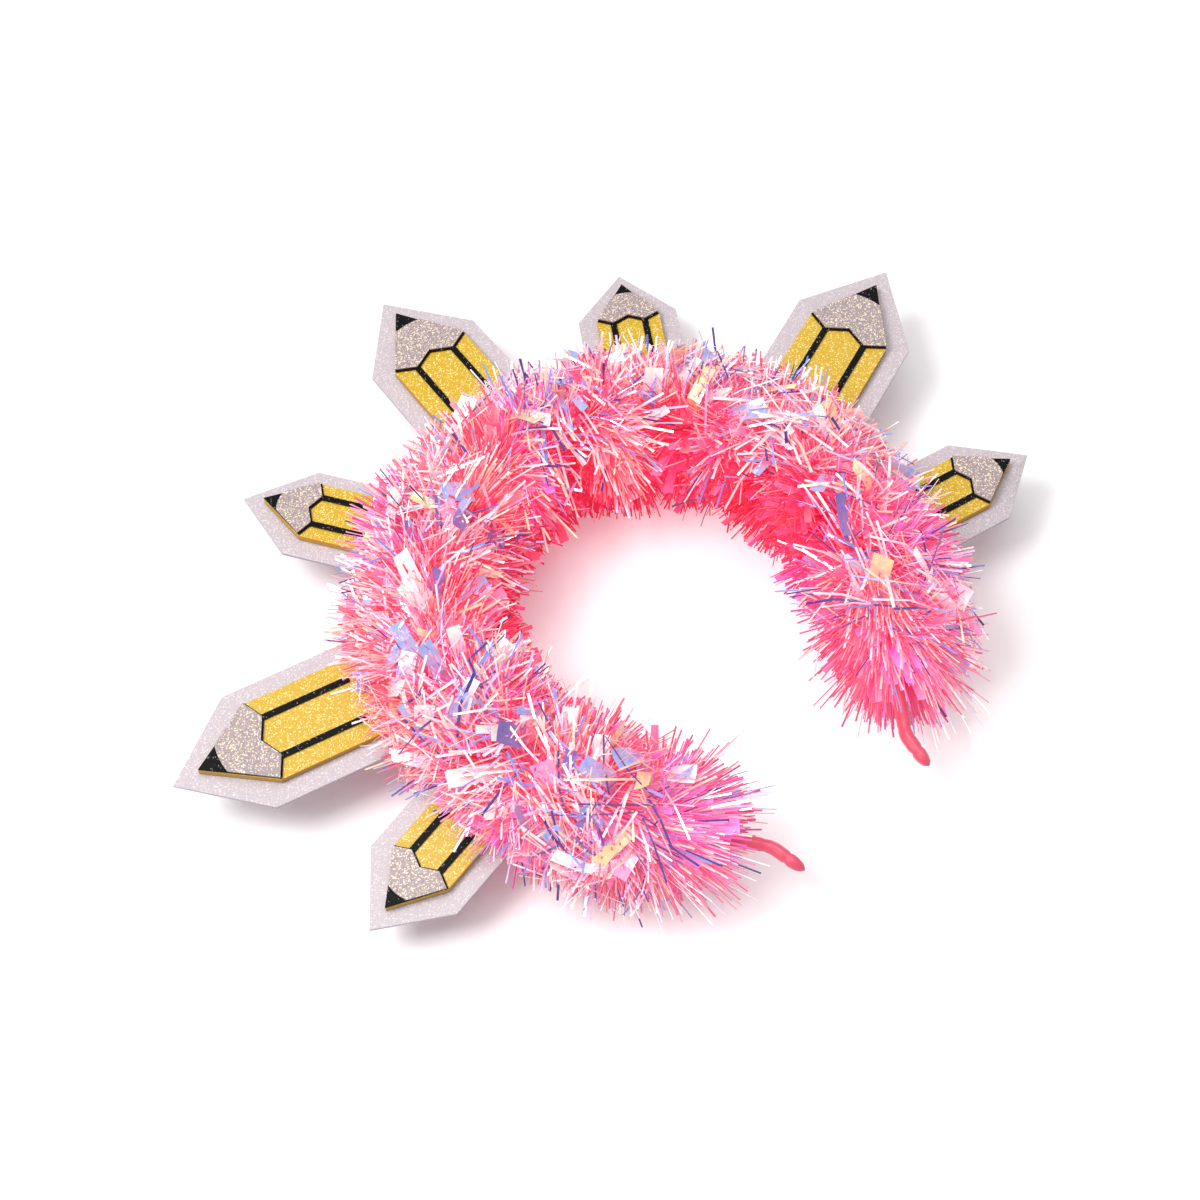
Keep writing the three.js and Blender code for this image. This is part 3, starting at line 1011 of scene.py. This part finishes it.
    def swept(self, kind: FilmKind, along: Array, turn: Array) -> tuple[Array, Array, Array]:
        """Lays out strips that come up through the pile and lie over along it, their neighbours the same way.

        Args:
            kind: the kind of strip.
            along: where they start along the band.
            turn: their angles round it.

        Returns:
            The points along each strip, the directions of its width there, and which strips came clear.
        """
        rng, count = self.rng, len(along)
        way = self.sweep_turn * self.sweep_waves.at(along, turn) + rng.normal(0, self.loose_sweep, count)
        run = kind.lay * rng.uniform(self.lay_least, self.lay_most, count)
        reach = rng.normal(kind.reach, kind.reach_spread, count)
        over = np.array([0.0, *np.linspace(self.rise_share, 1, kind.sections - 1)])
        rise = np.clip(over / self.rise_share, 0, 1) * (self.swept_from - self.root_radius)
        sloped = (reach - self.swept_from)[:, None] * (over - self.rise_share).clip(0)
        radius = self.root_radius + rise + sloped
        lie = run * np.cos(way)
        lie = np.where(np.abs(along + lie) > self.half_length + self.end_overhang, -lie, lie)
        place = along[:, None] + lie[:, None] * over
        angle = turn[:, None] + (run * np.sin(way) / reach)[:, None] * over
        points, _, outward = [a.reshape(count, kind.sections, 3) for a in self.line.at(place.ravel())]
        outs = outward * np.cos(angle)[..., None] + UP * np.sin(angle)[..., None]
        centres = points + outs * radius[..., None]
        kept = np.array([self.is_clear(path) for path in centres])
        centres, outs = centres[kept], outs[kept]
        flat = unit(np.cross(outs, np.gradient(centres, axis=1)))
        twist = rng.normal(0, self.twist, len(centres))[:, None, None]
        return centres, flat * np.cos(twist) + outs * np.sin(twist), kept

    def film_tints(self, kind: FilmKind, along: Array, turn: Array) -> Array:
        """Tints strips: neighbours much alike; darker towards the roots, partly painted shade, and under the
        pile and inside the ring, painted shade; and a painted lilac sheen at the ends' tips.

        Args:
            kind: the kind of strip.
            along: where they start along the band.
            turn: their angles round it.

        Returns:
            The colour of each section of each strip.
        """
        rng, count, past = self.rng, len(along), self.past_end(along)
        # Near the ends the drift leans to each list's later, more magenta tints: a painted sheen of film seen
        # at another angle
        drift = kind.tint_drift * (self.tint_waves.at(along, turn) + self.end_sheen_drift * past)
        drift += rng.normal(0, self.tint_spread, count)
        shares = np.cumsum([tint.share for tint in kind.tints])
        pick = np.searchsorted(shares[:-1], drift.argsort().argsort() / count)
        dim = 1 - self.shade_spread * rng.integers(0, self.shades, count) / (self.shades - 1)
        # Painted shade: film pointing under the pile or into the ring is darkened and reddened
        painted_shade = np.clip(-self.under_painted_shade * np.sin(turn) - self.inside_painted_shade * np.cos(turn), 0, 1)
        painted_shade *= 1 - past
        dim_and_painted_shade = dim[:, None] * (1 - painted_shade[:, None] * (1 - np.array(self.painted_shade_tint)))
        roots = np.array([linear(tint.root) for tint in kind.tints])[pick] * dim_and_painted_shade
        tips = np.array([linear(tint.tip) for tint in kind.tints])[pick] * dim_and_painted_shade
        # The ends' tips turn lilac: a painted sheen of film seen at another angle
        lilac = kind.tint_drift * self.end_sheen_share * past[:, None]
        tips = tips * (1 - lilac) + np.array(linear(self.end_sheen_tint)) * lilac
        # From root to tip the colour fades out of the deeper root, partly painted shade
        share = np.linspace(0, 1, kind.sections)[None, :, None]
        fade = np.clip((share - self.tint_turns_at) / self.tint_turns_over, 0, 1)
        return roots[:, None] * (1 - fade) + tips[:, None] * fade

    def batch(self, kind: FilmKind) -> StripBatch:
        """Lays out and tints the strips of one kind.

        Args:
            kind: the kind of strip.

        Returns:
            The strips.
        """
        rng = self.rng
        along = rng.uniform(-1, 1, kind.count) * self.half_length
        turn = rng.uniform(0, 2 * math.pi, kind.count)
        if kind.gathers:
            gathered = self.gathered(kind, along, turn)
            along, turn = along[gathered], turn[gathered]
        lay_out = self.swept if kind.stance is Stance.SWEPT else self.upright
        centres, across, kept = lay_out(kind, along, turn)
        widths = rng.normal(kind.width, kind.width_spread, len(centres))
        widths = np.clip(widths, self.narrowest * kind.width, self.widest * kind.width)
        return StripBatch(kind, centres, across, widths, self.film_tints(kind, along[kept], turn[kept]))

    def build(self) -> None:
        """Makes one piece for each kind of film, all standing for the garland's solid."""
        finishes = {kind.finish.name: kind.finish.material() for kind in FILM_KINDS}
        for kind in FILM_KINDS:
            finish = finishes[kind.finish.name]
            piece = piece_from_mesh(self.batch(kind).mesh(), finish, "tinsel")
            piece.visible_shadow = kind.finish.shades_others
            piece.visible_diffuse = kind.finish.tinges_others


@dataclass
class RibbonBand:
    """The band: a bendable rod sleeved in satin ribbon, creased at its bends and pinched shut at its ends."""

    line: BandLine
    radius: float = 1.92 * MM
    lap_pitch: float = 140.0 * MM
    lap_step: float = 0.4 * MM
    tip_length: float = 5.0 * MM
    tip_folds: int = 5
    tip_fold: float = 0.1
    nub: float = 0.12
    creases: tuple[float, ...] = (-13.0 * MM, -7.5 * MM, -0.5 * MM)
    crease_width: float = 0.5 * MM
    crease_depth: float = 0.16
    sides: int = 24
    stations: int = 420
    seam_gap: float = 0.01 * MM

    def radius_at(self, along: Array, turn: Array) -> Array:
        """Finds the sleeve's surface.

        Args:
            along: distances from the middle of the crown.
            turn: angles round the rod.

        Returns:
            The radius at each place: stepped where the ribbon laps itself, drawn in at the creases and ends.
        """
        past_end = np.abs(along) - self.line.half_length
        lap = (along / self.lap_pitch + turn / (2 * math.pi)) % 1.0
        in_tip = np.clip(past_end / self.tip_length, 0, 1)
        folds = 1 + self.tip_fold * in_tip * np.cos(self.tip_folds * turn)
        crease = sum(np.exp(-(((past_end - place) / self.crease_width) ** 2)) for place in self.creases)
        drawn_in = np.maximum(np.sqrt(1 - in_tip**2), self.nub) * (1 - self.crease_depth * crease)
        return (self.radius + self.lap_step * (lap - HALF_WAY)) * folds * drawn_in

    def build(self) -> None:
        """Makes the sleeve from a grid rolled round the line, with its seam merged and its ends closed."""
        shape = bmesh.new()
        bmesh.ops.create_grid(shape, x_segments=self.stations, y_segments=self.sides, size=1.0)
        flat = np.array([vert.co for vert in shape.verts])
        along = flat[:, 0] * (self.line.half_length + self.tip_length)
        turn = (flat[:, 1] + 1) * math.pi
        points, _, outward = self.line.at(along)
        outs = outward * np.cos(turn)[:, None] + UP * np.sin(turn)[:, None]
        for vert, spot in zip(shape.verts, points + outs * self.radius_at(along, turn)[:, None]):
            vert.co = spot
        bmesh.ops.remove_doubles(shape, verts=shape.verts[:], dist=self.seam_gap)
        open_edges = [edge for edge in shape.edges if edge.is_boundary]
        bmesh.ops.holes_fill(shape, edges=open_edges, sides=self.sides)
        bmesh.ops.recalc_face_normals(shape, faces=shape.faces[:])
        mesh = bpy.data.meshes.new("ribbon_sleeve")
        shape.to_mesh(mesh)
        shape.free()
        mesh.shade_smooth()
        piece_from_mesh(mesh, RIBBON.material(), "band_core")


@dataclass
class Pencils:
    """The seven layered pencils: their solids are right as they are, and get glitter and softened edges."""

    edge: float = 0.12 * MM
    edge_segments: int = 2
    weld_gap: float = 0.001 * MM

    def dress(self) -> None:
        """Gives each layer its finish and a slightly rounded edge."""
        finishes = {finish.name: finish.value.material() for finish in SheetFinish}
        for name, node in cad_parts.items():
            if not name.startswith("pencil_"):
                continue
            node.data.materials.clear()
            node.data.materials.append(finishes[name.rsplit("_", 1)[1]])
            weld = node.modifiers.new("weld", "WELD")
            weld.merge_threshold = self.weld_gap
            bevel = node.modifiers.new("soft_edge", "BEVEL")
            bevel.width = self.edge
            bevel.segments = self.edge_segments
            bevel.limit_method = "ANGLE"
            LOG.info("%s dressed", name)


@dataclass(frozen=True)
class Lamp:
    """A square soft light, placed in metres from the aim as the camera sees it, with its side and power."""

    name: str
    right: float
    away: float
    up: float
    size: float
    watts: float


@dataclass
class Studio:
    """The pale floor, the soft lights and the camera."""

    aim: Vector
    floor_size: float = 6.0
    floor_colour: str = "F6F5F6"
    floor_roughness: float = 0.9
    room_colour: str = "FFFFFF"
    room_strength: float = 0.5
    nearest: float = 0.01
    farthest: float = 20.0
    # The key light hangs high on the left, and a wide one above softens its shadows
    lamps: tuple[Lamp, ...] = (
        Lamp("key", right=-0.55, away=-0.18, up=0.95, size=0.45, watts=8.5),
        Lamp("top", right=-0.1, away=0.1, up=1.3, size=1.2, watts=9.0),
    )

    def seen(self, right: float, away: float, up: float) -> Vector:
        """Turns a place as the camera sees it to a place in the frame.

        Args:
            right: metres to the right of the aim.
            away: metres beyond it.
            up: metres above it.

        Returns:
            The place.
        """
        east = Vector((math.cos(VIEW_AZIMUTH), math.sin(VIEW_AZIMUTH), 0))
        north = Vector((-math.sin(VIEW_AZIMUTH), math.cos(VIEW_AZIMUTH), 0))
        return self.aim + east * right + north * away + Vector((0, 0, up))

    def floor(self) -> None:
        """Lays a plain white floor."""
        shape = bmesh.new()
        bmesh.ops.create_grid(shape, x_segments=1, y_segments=1, size=self.floor_size / 2)
        mesh = bpy.data.meshes.new("floor")
        shape.to_mesh(mesh)
        shape.free()
        material, tree, output = new_material("white_paper_sweep")
        shader = add_node(
            tree, "ShaderNodeBsdfPrincipled",
            {"Base Color": linear(self.floor_colour), "Roughness": self.floor_roughness},
        )
        tree.links.new(shader.outputs["BSDF"], output.inputs["Surface"])
        mesh.materials.append(material)
        floor = bpy.data.objects.new("floor", mesh)
        bpy.context.scene.collection.objects.link(floor)

    def hang(self, lamp: Lamp) -> None:
        """Hangs a lamp that faces the aim.

        Args:
            lamp: the lamp and its place.
        """
        light = bpy.data.lights.new(lamp.name, "AREA")
        light.shape = "SQUARE"
        light.size = lamp.size
        light.energy = lamp.watts
        place = self.seen(lamp.right, lamp.away, lamp.up)
        fitting = bpy.data.objects.new(lamp.name, light)
        fitting.location = place
        fitting.rotation_mode = "QUATERNION"
        fitting.rotation_quaternion = (self.aim - place).to_track_quat("-Z", "Y")
        bpy.context.scene.collection.objects.link(fitting)

    def lights(self) -> None:
        """Hangs the lamps and lights the room evenly."""
        for lamp in self.lamps:
            self.hang(lamp)
        world = bpy.data.worlds.new("room")
        world.use_nodes = True
        room = world.node_tree.nodes["Background"]
        room.inputs["Color"].default_value = linear(self.room_colour)
        room.inputs["Strength"].default_value = self.room_strength
        bpy.context.scene.world = world

    def camera(self) -> None:
        """Sets the camera at the photograph's angle."""
        lens = bpy.data.cameras.new("camera")
        lens.lens = VIEW_LENS
        lens.sensor_width = SENSOR_WIDTH
        lens.clip_start = self.nearest
        lens.clip_end = self.farthest
        camera = bpy.data.objects.new("camera", lens)
        level = math.cos(VIEW_ELEVATION)
        back = Vector(
            (math.sin(VIEW_AZIMUTH) * level, -math.cos(VIEW_AZIMUTH) * level, math.sin(VIEW_ELEVATION))
        )
        camera.location = self.aim + back * VIEW_DISTANCE
        camera.rotation_mode = "QUATERNION"
        camera.rotation_quaternion = (-back).to_track_quat("-Z", "Y")
        bpy.context.scene.collection.objects.link(camera)
        bpy.context.scene.camera = camera
        bpy.context.scene.view_settings.view_transform = "Standard"


def main() -> None:
    """Builds the headband's pieces in order and writes how large they are."""
    logging.basicConfig(level=logging.INFO, format="%(message)s")
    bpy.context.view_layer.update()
    line = BandLine()
    studio = Studio(Vector((line.centre.x, line.centre.y, 0)) + Vector((*VIEW_AIM_FROM_RING_CENTRE, 0)))
    studio.camera()
    studio.floor()
    studio.lights()
    Pencils().dress()
    RibbonBand(line).build()
    Tinsel(line).build()


if __name__ == "__main__":
    main()
